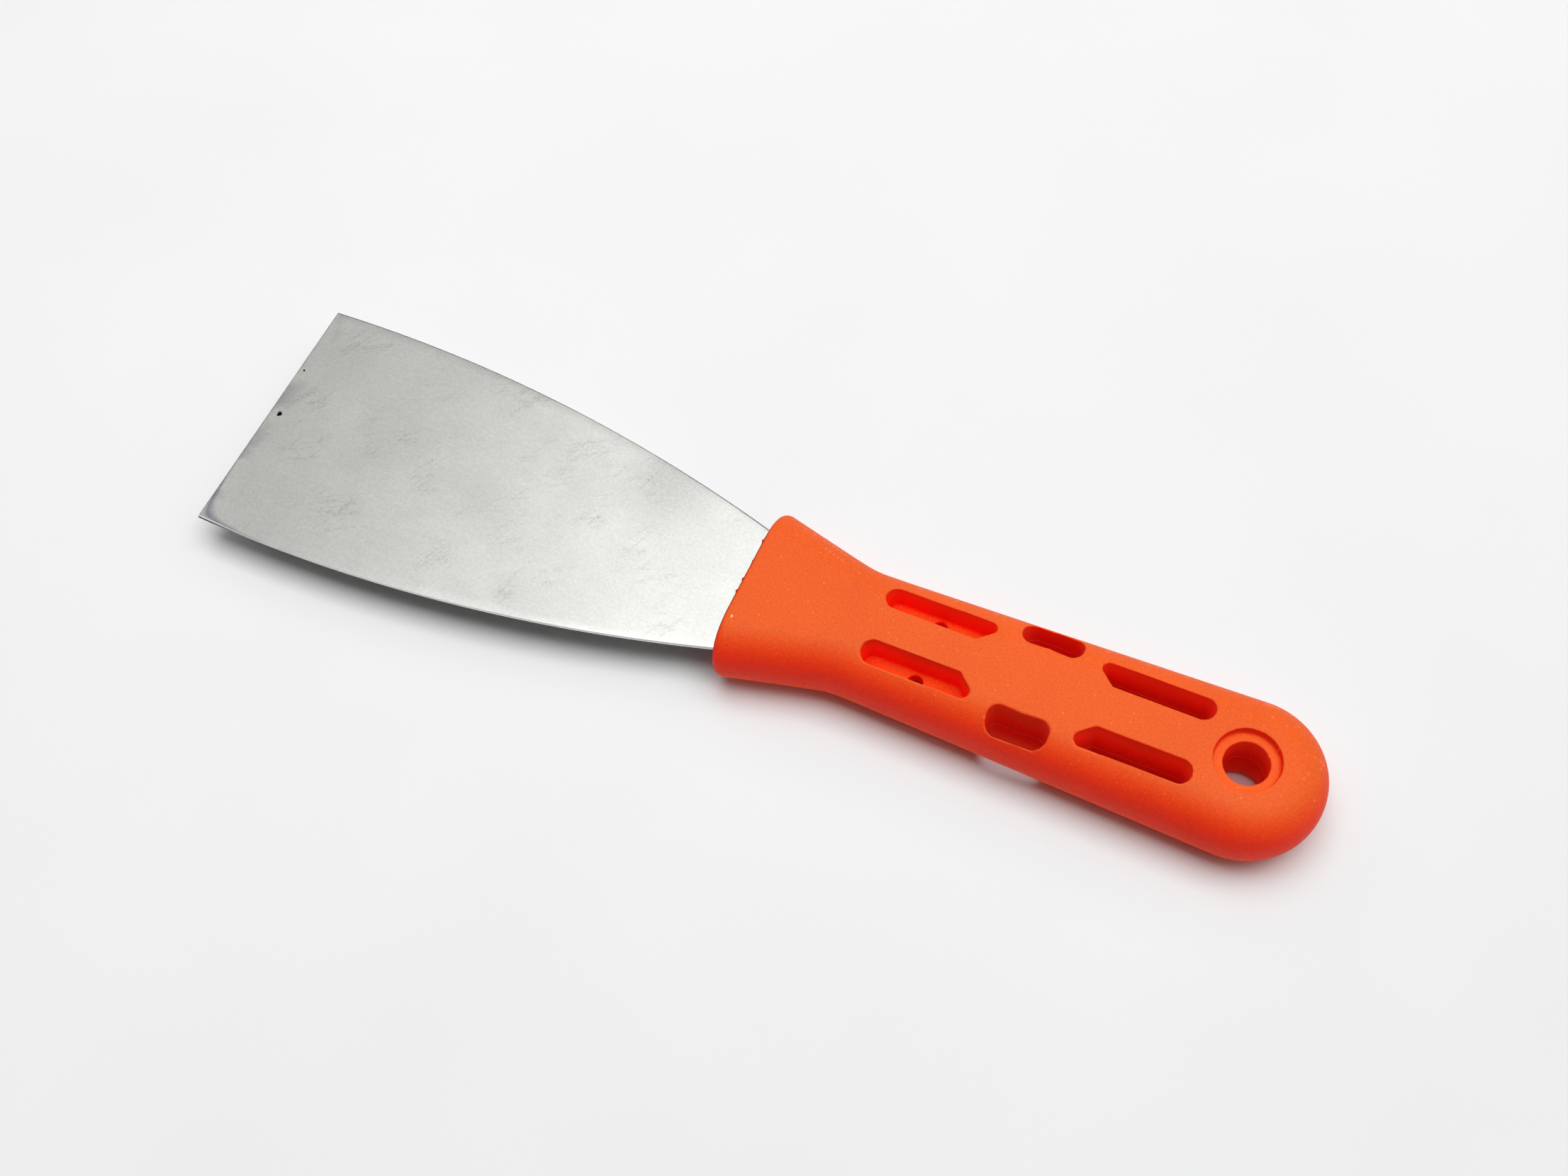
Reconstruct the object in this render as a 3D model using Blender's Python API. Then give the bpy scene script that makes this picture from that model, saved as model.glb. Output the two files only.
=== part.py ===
"""Flexible putty knife: a tapered spring-steel blade whose tang is moulded into a plastic handle.

Metres, +Z up. The knife lies flat with the underside of its handle on z = 0, its blade
pointing along -X and the middle of its length over the origin. It is mirror-symmetric
about the XZ plane, and its handle is also symmetric about the plane of the blade.
"""

import math

import bmesh
import bpy

MM = 0.001
CLEARANCE = 0.3 * MM  # between neighbouring pieces

# Driving dimensions.
KNIFE_LENGTH = 204 * MM
HANDLE_LENGTH = 103.2 * MM
HANDLE_THICKNESS = 15.2 * MM
BLADE_WIDTH = 50 * MM
BLADE_TIP_THICKNESS = 0.4 * MM
BLADE_HEEL_THICKNESS = 0.8 * MM

# Stations along the knife, all taken from its two ends.
TIP_X = -KNIFE_LENGTH / 2
BUTT_X = KNIFE_LENGTH / 2
MOUTH_X = BUTT_X - HANDLE_LENGTH
BLADE_Z = HANDLE_THICKNESS / 2

# Blade plan: each side is one large arc, widest a little behind the tip.
BLADE_SIDE_RADIUS = 311 * MM
BLADE_WIDEST_X = TIP_X + 12 * MM
BLADE_SIDE_POINTS = 24

# The spring joint stands for the bending of the blade just outside the handle.
FLEX_X = MOUTH_X - 1 * MM
BLADE_HEEL_X = FLEX_X - CLEARANCE / 2
TANG_FRONT_X = FLEX_X + CLEARANCE / 2

# Tang plan: it necks down inside the handle. Plastic plugs fill its two lock holes, and the
# mould's two locating pins leave a bore on each side, right through the tang and the handle.
TANG_SHOULDER_X = MOUTH_X + 3 * MM
TANG_NECK_X = MOUTH_X + 12 * MM
TANG_END_X = MOUTH_X + 46 * MM
TANG_HALF_WIDTH = 9 * MM
TANG_CORNER_RADIUS = 3 * MM
LOCK_HOLES = (
    # (centre x, radius)
    (MOUTH_X + 16 * MM, 4 * MM),
    (MOUTH_X + 38 * MM, 2.3 * MM),
)

# Handle plan: a straight flare at the mouth runs into a grip that widens to a round butt.
FLARE_HALF_WIDTH = 16.35 * MM  # at the mouth
FLARE_SLOPE = -0.254
BUTT_RADIUS = 13.6 * MM
GRIP_SLOPE = 0.033
NECK_BLEND = 0.5 * MM
BUTT_CENTRE_X = BUTT_X - BUTT_RADIUS

# Handle section: a flat land above and below, and a rolled side between them.
ROLL_WIDTH = 7.8 * MM
ROLL_POWER = 2.2
MOUTH_CORNER_RADIUS = 2 * MM  # in plan
MOUTH_EDGE_RADIUS = 0.8 * MM  # along the top and the bottom of the mouth
MOUTH_ROUND_STEPS = 6
BODY_STEPS = 30
BUTT_STEPS = 28
ROLL_STEPS = 9

# Openings in the handle. Slot places are measured from the mouth and the centreline.
POCKET_FLOOR = 1.7 * MM  # height of a pocket's floor above the middle plane
PIN_BORE_RADIUS = 1.35 * MM
PIN_BORE_CENTRE = (MOUTH_X + 33.9 * MM, 5.5 * MM)
HANG_HOLE_X = BUTT_X - 13.9 * MM
HANG_HOLE_RADIUS = 3.8 * MM
COUNTERBORE_RADIUS = 5.5 * MM
COUNTERBORE_DEPTH = 1.5 * MM
ARC_POINTS = 6  # points along a rounded corner
CIRCLE_POINTS = 40
CUT_MARGIN = 2 * MM  # how far a cutter runs past the face it opens

ORANGE = (0.91, 0.105, 0.02)
STEEL = (0.62, 0.63, 0.64)

BOTH_SIDES = (("near", -1), ("far", 1))


def clear_scene():
    for obj in list(bpy.data.objects):
        bpy.data.objects.remove(obj)


def plain_material(name, colour, roughness, metallic):
    made = bpy.data.materials.new(name)
    made.use_nodes = True
    shader = made.node_tree.nodes["Principled BSDF"]
    shader.inputs["Base Color"].default_value = (*colour, 1)
    shader.inputs["Roughness"].default_value = roughness
    shader.inputs["Metallic"].default_value = metallic
    made.diffuse_color = (*colour, 1)
    return made


def mesh_object(name, points, faces, origin=(0, 0, 0)):
    """An object with its origin at the given place, its points in world metres and its faces outward."""
    shape = bmesh.new()
    vertices = [shape.verts.new([p - o for p, o in zip(point, origin)]) for point in points]
    for face in faces:
        shape.faces.new([vertices[index] for index in face])
    bmesh.ops.remove_doubles(shape, verts=shape.verts, dist=0.001 * MM)
    bmesh.ops.recalc_face_normals(shape, faces=shape.faces)
    mesh = bpy.data.meshes.new(name)
    shape.to_mesh(mesh)
    shape.free()
    made = bpy.data.objects.new(name, mesh)
    made.location = origin
    bpy.context.scene.collection.objects.link(made)
    return made


def plate(name, outline, low, high, origin=(0, 0, 0)):
    """A solid between two copies of a plan outline. low and high give the height at each x."""
    count = len(outline)
    points = [(x, y, low(x)) for x, y in outline] + [(x, y, high(x)) for x, y in outline]
    faces = [range(count), range(count, 2 * count)]
    for i in range(count):
        after = (i + 1) % count
        faces.append((i, after, after + count, i + count))
    return mesh_object(name, points, faces, origin)


def hidden(tool):
    """Keeps a cutter out of the render and out of the finished knife."""
    tool.hide_render = True
    tool.display_type = "WIRE"
    return tool


def cutter(name, outline, low, high):
    return hidden(plate(name, outline, lambda x: low, lambda x: high))


def turned_cutter(name, centre_x, profile):
    """A cutter turned about a vertical axis, from the (radius, height) steps of its profile."""
    points = [(x, y, height) for radius, height in profile for x, y in circle(centre_x, 0, radius)]
    last_ring = len(points) - CIRCLE_POINTS
    faces = [range(CIRCLE_POINTS), range(last_ring, len(points))]
    for ring in range(0, last_ring, CIRCLE_POINTS):
        for i in range(CIRCLE_POINTS):
            after = (i + 1) % CIRCLE_POINTS
            faces.append((ring + i, ring + after, ring + after + CIRCLE_POINTS, ring + i + CIRCLE_POINTS))
    return hidden(mesh_object(name, points, faces))


def cut(target, tool):
    boolean = target.modifiers.new(tool.name, "BOOLEAN")
    boolean.operation = "DIFFERENCE"
    boolean.solver = "EXACT"
    boolean.object = tool


def shade_smooth(target, crease_degrees):
    for polygon in target.data.polygons:
        polygon.use_smooth = True
    target.data.set_sharp_from_angle(angle=math.radians(crease_degrees))


def circle(centre_x, centre_y, radius):
    turns = (math.tau * i / CIRCLE_POINTS for i in range(CIRCLE_POINTS))
    return [(centre_x + radius * math.cos(a), centre_y + radius * math.sin(a)) for a in turns]


def rounded(corners):
    """The outline through (x, y, radius) corners, with each corner replaced by its arc."""
    outline = []
    for i, (x, y, radius) in enumerate(corners):
        before, after = corners[i - 1], corners[(i + 1) % len(corners)]
        turn_in = math.atan2(before[1] - y, before[0] - x)
        turn_out = math.atan2(after[1] - y, after[0] - x)
        opening = (turn_out - turn_in + math.pi) % math.tau - math.pi
        half = abs(opening) / 2
        middle = turn_in + opening / 2
        centre_x = x + radius / math.sin(half) * math.cos(middle)
        centre_y = y + radius / math.sin(half) * math.sin(middle)
        sweep = math.copysign(math.pi / 2 - half, opening)
        for step in range(ARC_POINTS + 1):
            angle = middle + math.pi + sweep * (1 - 2 * step / ARC_POINTS)
            outline.append((centre_x + radius * math.cos(angle), centre_y + radius * math.sin(angle)))
    return outline


def mirrored(outline, side):
    """The outline as it is for side 1, or reflected in the knife's centreline for side -1."""
    return [(x, side * y) for x, y in outline]


# Blade and tang


def blade_half_width(x):
    sagitta = BLADE_SIDE_RADIUS - math.sqrt(BLADE_SIDE_RADIUS**2 - (x - BLADE_WIDEST_X) ** 2)
    tip_sagitta = BLADE_SIDE_RADIUS - math.sqrt(BLADE_SIDE_RADIUS**2 - (TIP_X - BLADE_WIDEST_X) ** 2)
    return BLADE_WIDTH / 2 + tip_sagitta - sagitta


def blade_half_thickness(x):
    """The blade tapers evenly from its heel to its tip."""
    share = (x - TIP_X) / (BLADE_HEEL_X - TIP_X)
    return (BLADE_TIP_THICKNESS + (BLADE_HEEL_THICKNESS - BLADE_TIP_THICKNESS) * share) / 2


def build_blade(steel):
    length = BLADE_HEEL_X - TIP_X
    stations = [TIP_X + length * i / BLADE_SIDE_POINTS for i in range(BLADE_SIDE_POINTS + 1)]
    far_side = [(x, blade_half_width(x)) for x in stations]
    near_side = [(x, -y) for x, y in reversed(far_side)]
    blade = plate(
        "blade",
        far_side + near_side,
        lambda x: BLADE_Z - blade_half_thickness(x),
        lambda x: BLADE_Z + blade_half_thickness(x),
        origin=(FLEX_X, 0, BLADE_Z),
    )
    blade.data.materials.append(steel)
    return blade


def tang_outline(gap):
    """The tang's plan, grown by gap on its sides and its end."""
    half_mouth = blade_half_width(BLADE_HEEL_X) + gap
    half_tang = TANG_HALF_WIDTH + gap
    front = TANG_FRONT_X - gap
    radius = TANG_CORNER_RADIUS
    far_side = [
        (front, half_mouth, 0),
        (TANG_SHOULDER_X, half_mouth, radius),
        (TANG_NECK_X, half_tang, radius),
        (TANG_END_X + gap, half_tang, radius),
    ]
    near_side = [(x, -y, r) for x, y, r in reversed(far_side)]
    return rounded(far_side + near_side)


def pin_bore_cutter(name, side):
    x, y = PIN_BORE_CENTRE
    reach = POCKET_FLOOR + CUT_MARGIN / 2
    return cutter(name, circle(x, side * y, PIN_BORE_RADIUS), BLADE_Z - reach, BLADE_Z + reach)


def build_tang(steel):
    half = BLADE_HEEL_THICKNESS / 2
    tang = plate("tang", tang_outline(0), lambda x: BLADE_Z - half, lambda x: BLADE_Z + half)
    for number, (x, radius) in enumerate(LOCK_HOLES, 1):
        cut(tang, cutter(f"lock_hole_{number}", circle(x, 0, radius), 0, HANDLE_THICKNESS))
    for side_name, side in BOTH_SIDES:
        cut(tang, pin_bore_cutter(f"tang_pin_bore_{side_name}", side))
    tang.data.materials.append(steel)
    return tang


# Handle


def handle_half_width(x):
    """The larger of the flare and the grip, with a soft corner where they meet at the neck."""
    flare = FLARE_HALF_WIDTH + FLARE_SLOPE * (x - MOUTH_X)
    grip = BUTT_RADIUS + GRIP_SLOPE * (x - BUTT_CENTRE_X)
    return (flare + grip + math.hypot(flare - grip, NECK_BLEND)) / 2


def half_section(half_width, half_height):
    """(distance out, height) from the middle of the top, over the rolled side, to the middle below."""
    land = half_width - ROLL_WIDTH
    upper = [(0, half_height)]
    for step in range(ROLL_STEPS + 1):
        angle = math.pi / 2 * step / ROLL_STEPS
        out = land + ROLL_WIDTH * math.sin(angle) ** (2 / ROLL_POWER)
        height = half_height * max(math.cos(angle), 0) ** (2 / ROLL_POWER)
        upper.append((out, height))
    upper[-1] = (half_width, 0)
    return upper + [(out, -height) for out, height in reversed(upper[:-1])]


def edge_inset(depth, radius):
    """How far an edge rounded to the radius stands in, at a depth behind the mouth."""
    return radius - math.sqrt(radius**2 - max(radius - depth, 0) ** 2)


def handle_stations():
    """x along the handle: closely through the rounded mouth edge, then evenly to the butt."""
    for step in range(MOUTH_ROUND_STEPS):
        angle = math.pi / 2 * step / MOUTH_ROUND_STEPS
        yield MOUTH_X + MOUTH_CORNER_RADIUS * (1 - math.cos(angle))
    start = MOUTH_X + MOUTH_CORNER_RADIUS
    for step in range(BODY_STEPS + 1):
        yield start + (BUTT_CENTRE_X - start) * step / BODY_STEPS


def section_size(x):
    """Half width and half height of the handle at x."""
    half_width = handle_half_width(x) - edge_inset(x - MOUTH_X, MOUTH_CORNER_RADIUS)
    return half_width, HANDLE_THICKNESS / 2 - edge_inset(x - MOUTH_X, MOUTH_EDGE_RADIUS)


def ring_of_half_sections():
    """Half sections in order: along the far side, round the butt and back along the near side."""
    far_side = [(x, math.pi / 2, *section_size(x)) for x in handle_stations()]
    near_side = [(x, -turn, width, height) for x, turn, width, height in reversed(far_side)]
    _, _, butt_width, butt_height = far_side[-1]
    turns = (math.pi * (0.5 - step / BUTT_STEPS) for step in range(1, BUTT_STEPS))
    butt = [(BUTT_CENTRE_X, turn, butt_width, butt_height) for turn in turns]
    rows = []
    for x, turn, width, height in far_side + butt + near_side:
        rows.append(
            [
                (x + out * math.cos(turn), out * math.sin(turn), BLADE_Z + up)
                for out, up in half_section(width, height)
            ]
        )
    return rows


def handle_body():
    rows = ring_of_half_sections()
    width = len(rows[0])
    points = [point for row in rows for point in row]
    faces = []
    for i in range(len(rows) - 1):
        for j in range(width - 1):
            corner = i * width + j
            faces.append((corner, corner + 1, corner + width + 1, corner + width))
    last_row = (len(rows) - 1) * width
    mouth_face = list(range(width)) + [last_row + j for j in range(width - 2, 0, -1)]
    faces.append(mouth_face)
    return mesh_object("handle", points, faces)


def front_pocket_outline():
    """Round in front, with its inner rear corner cut off beside the thumb pad."""
    front, rear = MOUTH_X + 24.2 * MM, MOUTH_X + 43.9 * MM
    inner, outer = 3.3 * MM, 7.6 * MM
    return rounded(
        [
            (front, inner, 2.1 * MM),
            (rear - 2.7 * MM, inner, 0.3 * MM),
            (rear, inner + 2.6 * MM, 0.7 * MM),
            (rear, outer, 1.4 * MM),
            (front, outer, 2.1 * MM),
        ]
    )


def middle_slot_outline():
    """Beside the thumb pad, with its inner edge bowed a little into the slot."""
    front, rear = MOUTH_X + 47.8 * MM, MOUTH_X + 58.6 * MM
    inner, outer = 6.1 * MM, 11 * MM
    bow = 0.3 * MM
    return rounded(
        [
            (front, inner, 2 * MM),
            ((front + rear) / 2, inner + bow, 12 * MM),
            (rear, inner, 2 * MM),
            (rear, outer, 2.3 * MM),
            (front, outer, 2.3 * MM),
        ]
    )


def rear_slot_outline():
    """The front pocket's counterpart: cut-off corner in front, round behind."""
    front, rear = MOUTH_X + 62.4 * MM, MOUTH_X + 82 * MM
    inner, outer = 3.9 * MM, 8.1 * MM
    return rounded(
        [
            (rear, inner, 2 * MM),
            (front + 2.7 * MM, inner, 0.3 * MM),
            (front, inner + 2.4 * MM, 0.7 * MM),
            (front, outer, 1.4 * MM),
            (rear, outer, 2 * MM),
        ]
    )


def tang_cavity():
    """The space round the tang, open at the mouth, with the two plugs that lock it left standing."""
    half = BLADE_HEEL_THICKNESS / 2 + CLEARANCE
    cavity = cutter("tang_cavity", tang_outline(CLEARANCE), BLADE_Z - half, BLADE_Z + half)
    for number, (x, radius) in enumerate(LOCK_HOLES, 1):
        cut(cavity, cutter(f"lock_plug_{number}", circle(x, 0, radius - CLEARANCE), 0, HANDLE_THICKNESS))
    return cavity


def handle_cutters():
    below, above = -CUT_MARGIN, HANDLE_THICKNESS + CUT_MARGIN
    yield tang_cavity()
    for side_name, side in BOTH_SIDES:
        pocket = mirrored(front_pocket_outline(), side)
        yield cutter(f"top_pocket_{side_name}", pocket, BLADE_Z + POCKET_FLOOR, above)
        yield cutter(f"bottom_pocket_{side_name}", pocket, below, BLADE_Z - POCKET_FLOOR)
        yield pin_bore_cutter(f"handle_pin_bore_{side_name}", side)
        yield cutter(f"middle_slot_{side_name}", mirrored(middle_slot_outline(), side), below, above)
        yield cutter(f"rear_slot_{side_name}", mirrored(rear_slot_outline(), side), below, above)
    top_step = HANDLE_THICKNESS - COUNTERBORE_DEPTH
    hang_hole_profile = (
        # (radius, height)
        (COUNTERBORE_RADIUS, below),
        (COUNTERBORE_RADIUS, COUNTERBORE_DEPTH),
        (HANG_HOLE_RADIUS, COUNTERBORE_DEPTH),
        (HANG_HOLE_RADIUS, top_step),
        (COUNTERBORE_RADIUS, top_step),
        (COUNTERBORE_RADIUS, above),
    )
    yield turned_cutter("hang_hole", HANG_HOLE_X, hang_hole_profile)


def build_handle(plastic):
    handle = handle_body()
    shade_smooth(handle, crease_degrees=40)
    for tool in handle_cutters():
        cut(handle, tool)
    handle.data.materials.append(plastic)
    return handle


def main():
    clear_scene()
    steel = plain_material("blade_steel", STEEL, roughness=0.32, metallic=1)
    plastic = plain_material("handle_plastic", ORANGE, roughness=0.5, metallic=0)
    build_blade(steel)
    build_tang(steel)
    build_handle(plastic)


main()
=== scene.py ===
"""Looks of the flexible putty knife: a satin spring-steel blade in a grained orange plastic handle.

Metres, +Z up, in the CAD's own frame: the blade points along -X and the handle lies on z = 0.
"""

import math

import bmesh
import bpy
import numpy as np
from mathutils import Matrix, Vector


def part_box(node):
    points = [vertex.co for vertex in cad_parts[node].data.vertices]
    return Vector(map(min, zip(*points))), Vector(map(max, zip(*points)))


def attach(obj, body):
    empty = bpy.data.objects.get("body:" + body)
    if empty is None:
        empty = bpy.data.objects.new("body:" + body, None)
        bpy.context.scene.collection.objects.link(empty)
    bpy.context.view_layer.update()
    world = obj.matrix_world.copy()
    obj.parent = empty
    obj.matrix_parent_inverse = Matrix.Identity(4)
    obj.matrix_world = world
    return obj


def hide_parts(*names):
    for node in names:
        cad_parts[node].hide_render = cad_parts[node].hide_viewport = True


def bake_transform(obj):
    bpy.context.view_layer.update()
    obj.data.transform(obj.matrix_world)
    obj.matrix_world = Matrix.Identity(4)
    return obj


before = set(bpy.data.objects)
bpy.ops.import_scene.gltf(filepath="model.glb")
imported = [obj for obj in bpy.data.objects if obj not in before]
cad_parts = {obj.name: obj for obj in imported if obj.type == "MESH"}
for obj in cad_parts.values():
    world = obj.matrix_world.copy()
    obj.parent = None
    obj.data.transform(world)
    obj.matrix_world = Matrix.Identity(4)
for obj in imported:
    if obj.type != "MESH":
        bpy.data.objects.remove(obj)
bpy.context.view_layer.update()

MM = 0.001

# Places taken from the CAD nodes.
handle_low, handle_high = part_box("handle")
blade_low, blade_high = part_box("blade")
tang_low, tang_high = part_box("tang")

MOUTH_X = handle_low.x
BUTT_X = handle_high.x
HANDLE_THICKNESS = handle_high.z - handle_low.z
MIDDLE_Z = (handle_low.z + handle_high.z) / 2
TIP_X = blade_low.x
FLEX_X = (blade_high.x + tang_low.x) / 2
TANG_END_X = tang_high.x
TANG_HALF_THICKNESS = (tang_high.z - tang_low.z) / 2

# Blade and tang plan.
TIP_HALF_WIDTH = 25 * MM
TIP_HALF_THICKNESS = 0.2 * MM
SIDE_RADIUS = 311 * MM
WIDEST_X = TIP_X + 12 * MM
TANG_SHOULDER_X = MOUTH_X + 3 * MM
TANG_NECK_X = MOUTH_X + 12 * MM
TANG_HALF_WIDTH = 9 * MM
EDGE_ROLL_TIP = 0.1 * MM  # how far the rolled upper edge of the stamping reaches in
EDGE_ROLL_HEEL = 0.55 * MM
EDGE_ROLL_STEPS = 6
TIP_BREAK = 0.06 * MM
BLADE_LENGTH_STEPS = 150
BLADE_WIDTH_STEPS = 24

# Handle plan and section.
FLARE_HALF_WIDTH = 16.35 * MM
FLARE_SLOPE = -0.254
BUTT_RADIUS = 13.6 * MM
BUTT_CENTRE_X = BUTT_X - BUTT_RADIUS
GRIP_SLOPE = 0.033
NECK_BLEND = 0.5 * MM
ROLL_WIDTH = 7.8 * MM
ROLL_POWER = 2.2
MOUTH_CORNER_RADIUS = 2 * MM
MOUTH_EDGE_RADIUS = 0.8 * MM
MOUTH_ROUND_STEPS = 14
BODY_STEPS = 90
BUTT_STEPS = 72
ROLL_STEPS = 18

# Openings, and the soft rims that moulding leaves round them.
POCKET_FLOOR = 1.7 * MM
DRAFT = 0.035  # how much a wall leans out for each metre that it rises
SLOT_ARC_STEPS = 8
CIRCLE_STEPS = 96
PIN_BORE_RADIUS = 1.35 * MM
PIN_BORE_X = MOUTH_X + 33.9 * MM
PIN_BORE_Y = 5.5 * MM
PIN_BORE_REACH = 3 * MM
HANG_HOLE_X = BUTT_X - 13.9 * MM
HANG_HOLE_RADIUS = 3.8 * MM
COUNTERBORE_RADIUS = 5.5 * MM
COUNTERBORE_DEPTH = 1.5 * MM
CUT_MARGIN = 2 * MM
SKIN_CELL = 0.22 * MM  # of the even mesh that smoothing needs
RIM_SOFTENING = 3  # smoothing passes

# Crumbs of flash along the top of the mouth: (y, radius).
FLASH_NIBS = (
    (7.0 * MM, 0.27 * MM),
    (2.7 * MM, 0.18 * MM),
    (-1.2 * MM, 0.24 * MM),
    (-3.7 * MM, 0.26 * MM),
)

# How light reaches and leaves the plastic.
LIGHT_FROM = (0.1, 0.35, 0.93)  # the way to the lamps that the plastic's colour is made for
HOLLOW_REACH = 9 * MM  # how far walls shade each other
BODY_PAINTED_GLOW = 0.08  # painted glow: emission that stands for light soaking through the plastic
HOLLOW_PAINTED_GLOW = 0.32  # and more of it in the walls of hollows
FAR_BOUNCE_START, FAR_BOUNCE_END = 4 * MM, 16 * MM  # how far thrown light keeps the plastic's colour before it sees grey

# Marks on the plastic, and painted highlights and shade.
PARTING_HALF_WIDTH = 0.15 * MM
SPECK_SPACING = 1.6 * MM
PIN_MARK_X = MOUTH_X + 48.2 * MM  # an ejector pin's faint ring on the thumb pad
PIN_MARK_RADIUS = 5 * MM
PIN_MARK_HALF_WIDTH = 0.2 * MM
NICK_X, NICK_Y, NICK_RADIUS = MOUTH_X + 1.5 * MM, -8.7 * MM, 0.28 * MM
MOUTH_SHADE_FADE = (MOUTH_X + 0.2 * MM, MOUTH_X + 0.42 * MM)  # painted shade: the dark line along the mouth

# Marks on the steel, and its painted reflection and shade.
SCRAPE_TURNS = (28, 65)  # degrees from the blade's length
# Painted darker reflection near the heel's far side: x, y, radius.
DARK_REFLECTION_X, DARK_REFLECTION_Y, DARK_REFLECTION_RADIUS = MOUTH_X - 22 * MM, 15 * MM, 12 * MM
# How far the painted shade reaches in from the tip.
TIP_SHADE_DEPTH = 4 * MM
# The painted shade outline fades out between these distances from the edge.
OUTLINE_FADE_SIDE = (0.12 * MM, 0.32 * MM)
OUTLINE_FADE_TIP = (0.1 * MM, 0.24 * MM)
STEEL_SPECKS = (
    # (x, y, radius)
    (TIP_X + 2 * MM, 0.2 * MM, 0.56 * MM),
    (TIP_X + 1.1 * MM, 10.6 * MM, 0.24 * MM),
    (MOUTH_X - 8 * MM, 2 * MM, 0.06 * MM),
    (MOUTH_X - 6.5 * MM, 8 * MM, 0.05 * MM),
)

# Colours.
# Lit and shaded copies of the plastic's colour: painted light and shade.
LIT_ORANGE = (0.765, 0.112, 0.018, 1)
SHADED_DEEP_RED = (0.93, 0.011, 0.002, 1)
# Painted highlight on the rims.
PAINTED_RIM_HIGHLIGHT = (0.95, 0.28, 0.1, 1)
PIN_RING = (0.95, 0.3, 0.12, 1)
PALE_SPECK = (0.9, 0.4, 0.18, 1)
PALE_NICK = (0.95, 0.5, 0.25, 1)
# Painted highlight on the parting line inside the slots.
SEAM_PAINTED_HIGHLIGHT = (1, 0.3, 0.2, 1)
DARK_SEAM = (0.4, 0.03, 0.008, 1)
# Painted shade along the mouth.
MOUTH_EDGE_SHADE = (0.3, 0.006, 0.003, 1)
# Painted glow.
PAINTED_GLOW_RED = (1, 0.03, 0.01, 1)
# Grey that far-thrown bounce light sees in the plastic.
FAR_BOUNCE_GREY = (0.3, 0.3, 0.3, 1)
STEEL_LOW = (0.5, 0.503, 0.482, 1)
STEEL_HIGH = (0.567, 0.57, 0.546, 1)
SCRAPED = (0.32, 0.32, 0.29, 1)
# Painted darker reflection.
DARKER_REFLECTION = (0.3, 0.3, 0.29, 1)
# Painted shade near the tip.
TIP_PAINTED_SHADE = (0.22, 0.22, 0.23, 1)
# Blue-grey at the near corner of the tip.
CORNER_BLUE_GREY = (0.1, 0.11, 0.19, 1)
# Painted shade along the sheared edges.
EDGE_SHADE_OUTLINE = (0.05, 0.05, 0.05, 1)
# Painted shade on the near edge's lower half.
EDGE_PAINTED_SHADE = (0.04, 0.04, 0.04, 1)
# Painted highlight along the near edge.
EDGE_PAINTED_HIGHLIGHT = (0.85, 0.85, 0.84, 1)
OLD_PAINT = (0.008, 0.007, 0.006, 1)
PAPER_LOW = (0.86, 0.86, 0.865, 1)
PAPER_HIGH = (0.88, 0.88, 0.885, 1)

# Studio.
FLOOR_HALF_SIZE = 1.5
FLOOR_GAP = 0.05 * MM
KEY_LIGHT = {"centre": (0.17, 0.21, 1.3), "size": (1.43, 0.88), "power": 15.6}
FILL_LIGHT = {"centre": (0, 0.75, 1.31), "size": (5.2, 2.38), "power": 22}
WORLD_LIGHT = 0.06
WORLD_SEEN = 0.85
WORLD_REFLECTED = 0.6
CAMERA_AZIMUTH = math.radians(31.8)
CAMERA_ELEVATION = math.radians(61.25)
CAMERA_ROLL = math.radians(8)
CAMERA_DISTANCE = 324 * MM
CAMERA_TARGET = Vector((4.1 * MM, 3.2 * MM, MIDDLE_Z))
LENS = 42.3  # mm, on a sensor 36 mm wide
SENSOR_WIDTH = 36

PLACE = "place_at_rest"  # the point attribute that the materials read


# Mesh helpers


def mesh_object(name, points, faces):
    shape = bmesh.new()
    vertices = [shape.verts.new(point) for point in points]
    for face in faces:
        shape.faces.new([vertices[index] for index in face])
    bmesh.ops.remove_doubles(shape, verts=shape.verts, dist=0.001 * MM)
    bmesh.ops.recalc_face_normals(shape, faces=shape.faces)
    mesh = bpy.data.meshes.new(name)
    shape.to_mesh(mesh)
    shape.free()
    made = bpy.data.objects.new(name, mesh)
    bpy.context.scene.collection.objects.link(made)
    return made


def stack(name, rings):
    """A closed solid through rings with the same number of points, capped at both ends."""
    count = len(rings[0])
    points = [point for ring in rings for point in ring]
    last = len(points) - count
    faces = [range(count), range(last, last + count)]
    for start in range(0, last, count):
        for i in range(count):
            after = (i + 1) % count
            faces.append((start + i, start + after, start + after + count, start + i + count))
    return mesh_object(name, points, faces)


def apply_modifiers(target):
    graph = bpy.context.evaluated_depsgraph_get()
    finished = bpy.data.meshes.new_from_object(target.evaluated_get(graph))
    finished.materials.clear()
    target.modifiers.clear()
    target.data = finished


def cut_all(target, tools):
    for tool in tools:
        boolean = target.modifiers.new(tool.name, "BOOLEAN")
        boolean.operation = "DIFFERENCE"
        boolean.solver = "MANIFOLD"
        boolean.object = tool
    apply_modifiers(target)
    for tool in tools:
        bpy.data.objects.remove(tool)


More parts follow.
